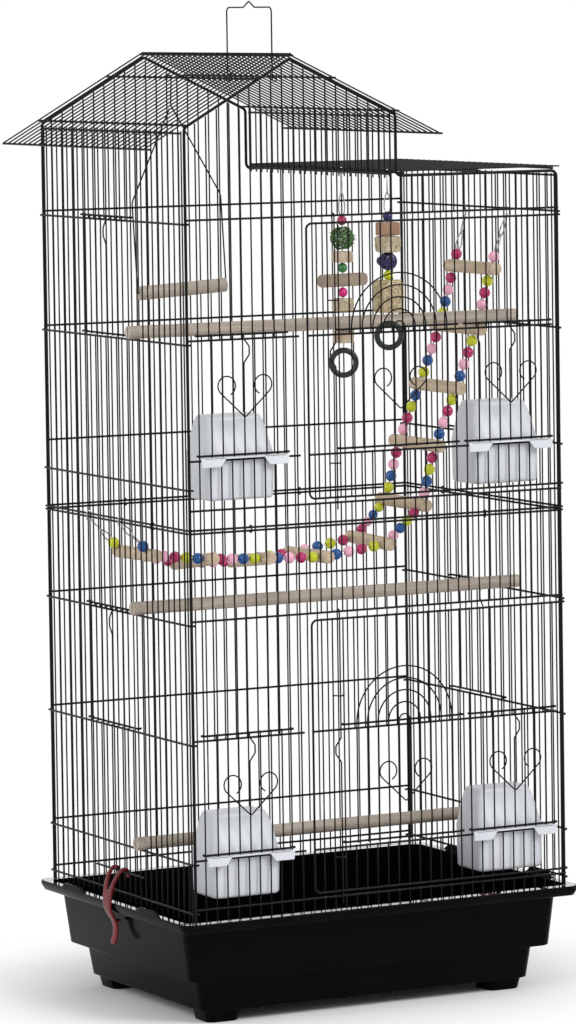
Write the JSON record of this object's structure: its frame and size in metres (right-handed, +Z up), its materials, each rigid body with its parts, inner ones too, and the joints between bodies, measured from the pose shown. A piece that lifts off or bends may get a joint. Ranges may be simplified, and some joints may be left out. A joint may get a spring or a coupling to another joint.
{
  "type": "bird cage",
  "caption": "Tall wire bird cage with a pitched loft roof, hinged and sliding doors, feeding cups, perches, a swing, hanging toys and a bead bridge on a stepped litter tray.",
  "frame": {"origin": "on the floor, under the centre of the wire walls' rectangle", "axes": "+Z up, -Y the front with the large doors, -X the side under the longer eave"},
  "size_m": [0.4831, 0.338, 1.0081],
  "materials": {
    "black_wire": "semi-gloss black powder coat",
    "bright_wire": "bright plated wire",
    "tray_plastic": "moulded black, semi-gloss",
    "latch_plastic": "moulded red, glossy",
    "cup_plastic": "moulded white, satin",
    "perch_wood": "turned dowel, unfinished",
    "rung_wood": "turned dowel, unfinished",
    "toy_wood": "sawn, unfinished",
    "toy_beads": "painted, glossy",
    "ring_plastic": "moulded dark green",
    "green_wicker": "dyed woven vine",
    "purple_wicker": "dyed woven vine",
    "loofah": "dried fibre",
    "bead_crimson": "painted, glossy",
    "bead_pink": "painted, glossy",
    "bead_blue": "painted, glossy",
    "bead_yellow": "painted, glossy"
  },
  "bodies": {
    "tray": {"base_tray": "tray_plastic"},
    "cage": {"upper_front_panel": "black_wire", "upper_back_panel": "black_wire", "upper_left_panel": "black_wire", "upper_right_panel": "black_wire", "lower_front_panel": "black_wire", "lower_back_panel": "black_wire", "lower_left_panel": "black_wire", "lower_right_panel": "black_wire", "loft_side_panel": "black_wire", "flat_top_panel": "black_wire", "roof_left_panel": "black_wire", "roof_right_panel": "black_wire", "seam_clips": "black_wire", "upper_left_cup": "cup_plastic", "lower_left_cup": "cup_plastic", "top_perch": "perch_wood", "middle_perch": "perch_wood", "bottom_perch": "perch_wood", "bridge_wires": "bright_wire", "bridge_rungs": "rung_wood", "bridge_beads_crimson": "bead_crimson", "bridge_beads_pink": "bead_pink", "bridge_beads_blue": "bead_blue", "bridge_beads_yellow": "bead_yellow"},
    "carry_handle": {"carry_handle": "black_wire"},
    "tray_latch_left": {"tray_latch_left": "latch_plastic"},
    "tray_latch_right": {"tray_latch_right": "latch_plastic"},
    "upper_main_door": {"upper_main_door": "black_wire", "upper_right_cup": "cup_plastic"},
    "upper_door_latch": {"upper_door_latch": "black_wire"},
    "upper_inner_door": {"upper_inner_door": "black_wire"},
    "upper_left_feeder_door": {"upper_left_feeder_door": "black_wire"},
    "upper_right_feeder_door": {"upper_right_feeder_door": "black_wire"},
    "upper_left_side_door": {"upper_left_side_door": "black_wire"},
    "upper_right_side_door": {"upper_right_side_door": "black_wire"},
    "lower_main_door": {"lower_main_door": "black_wire", "lower_right_cup": "cup_plastic"},
    "lower_door_latch": {"lower_door_latch": "black_wire"},
    "lower_inner_door": {"lower_inner_door": "black_wire"},
    "lower_left_feeder_door": {"lower_left_feeder_door": "black_wire"},
    "lower_right_feeder_door": {"lower_right_feeder_door": "black_wire"},
    "lower_left_side_door": {"lower_left_side_door": "black_wire"},
    "lower_right_side_door": {"lower_right_side_door": "black_wire"},
    "swing": {"swing_hanger": "black_wire", "swing_dowel": "perch_wood"},
    "ball_toy": {"ball_toy_ball": "green_wicker", "ball_toy_beads": "toy_beads", "ball_toy_hanger": "bright_wire", "ball_toy_loofah": "loofah", "ball_toy_ring": "ring_plastic", "ball_toy_wood": "toy_wood"},
    "loofah_toy": {"loofah_toy_ball": "purple_wicker", "loofah_toy_beads": "toy_beads", "loofah_toy_hanger": "bright_wire", "loofah_toy_ring": "ring_plastic", "loofah_toy_roll": "loofah", "loofah_toy_wood": "toy_wood"}
  },
  "joints": [
    {"name": "cage_lift", "type": "slide", "parent": "tray", "child": "cage", "axis": [0, 0, 1], "range_m": [0, 0.15]},
    {"name": "left_latch_pivot", "type": "hinge", "parent": "cage", "child": "tray_latch_left", "pos_m": [-0.2119, 0, 0.138], "axis": [0, 1, 0], "range_deg": [0, 95]},
    {"name": "right_latch_pivot", "type": "hinge", "parent": "cage", "child": "tray_latch_right", "pos_m": [0.2119, 0, 0.138], "axis": [0, -1, 0], "range_deg": [0, 95]},
    {"name": "handle_slide", "type": "slide", "parent": "cage", "child": "carry_handle", "axis": [0, 0, 1], "range_m": [-0.04, 0.018]},
    {"name": "lower_door_hinge", "type": "hinge", "parent": "cage", "child": "lower_main_door", "pos_m": [0.20925, -0.16125, 0.258], "axis": [0, 0, 1], "range_deg": [0, 120]},
    {"name": "lower_rod_slide", "type": "slide", "parent": "lower_main_door", "child": "lower_door_latch", "axis": [0, 0, 1], "range_m": [0, 0.012]},
    {"name": "lower_inner_slide", "type": "slide", "parent": "lower_main_door", "child": "lower_inner_door", "axis": [0, 0, 1], "range_m": [0, 0.1]},
    {"name": "lower_right_feeder_slide", "type": "slide", "parent": "lower_main_door", "child": "lower_right_feeder_door", "axis": [0, 0, 1], "range_m": [0, 0.1]},
    {"name": "lower_left_feeder_slide", "type": "slide", "parent": "cage", "child": "lower_left_feeder_door", "axis": [0, 0, 1], "range_m": [0, 0.1]},
    {"name": "lower_left_side_slide", "type": "slide", "parent": "cage", "child": "lower_left_side_door", "axis": [0, 0, 1], "range_m": [0, 0.08]},
    {"name": "lower_right_side_slide", "type": "slide", "parent": "cage", "child": "lower_right_side_door", "axis": [0, 0, 1], "range_m": [0, 0.08]},
    {"name": "upper_door_hinge", "type": "hinge", "parent": "cage", "child": "upper_main_door", "pos_m": [0.20925, -0.16125, 0.653], "axis": [0, 0, 1], "range_deg": [0, 120]},
    {"name": "upper_rod_slide", "type": "slide", "parent": "upper_main_door", "child": "upper_door_latch", "axis": [0, 0, 1], "range_m": [0, 0.012]},
    {"name": "upper_inner_slide", "type": "slide", "parent": "upper_main_door", "child": "upper_inner_door", "axis": [0, 0, 1], "range_m": [0, 0.1]},
    {"name": "upper_right_feeder_slide", "type": "slide", "parent": "upper_main_door", "child": "upper_right_feeder_door", "axis": [0, 0, 1], "range_m": [0, 0.1]},
    {"name": "upper_left_feeder_slide", "type": "slide", "parent": "cage", "child": "upper_left_feeder_door", "axis": [0, 0, 1], "range_m": [0, 0.1]},
    {"name": "upper_left_side_slide", "type": "slide", "parent": "cage", "child": "upper_left_side_door", "axis": [0, 0, 1], "range_m": [0, 0.08]},
    {"name": "upper_right_side_slide", "type": "slide", "parent": "cage", "child": "upper_right_side_door", "axis": [0, 0, 1], "range_m": [0, 0.08]},
    {"name": "swing_pivot", "type": "hinge", "parent": "cage", "child": "swing", "pos_m": [-0.132, 0.024, 0.93212], "axis": [1, 0, 0], "range_deg": [-20, 20]},
    {"name": "ball_toy_pivot", "type": "hinge", "parent": "cage", "child": "ball_toy", "pos_m": [0.031, -0.036, 0.83585], "axis": [0, 1, 0], "range_deg": [-15, 15]},
    {"name": "loofah_toy_pivot", "type": "hinge", "parent": "cage", "child": "loofah_toy", "pos_m": [0.031, -0.132, 0.83585], "axis": [0, 1, 0], "range_deg": [-15, 15]}
  ]
}
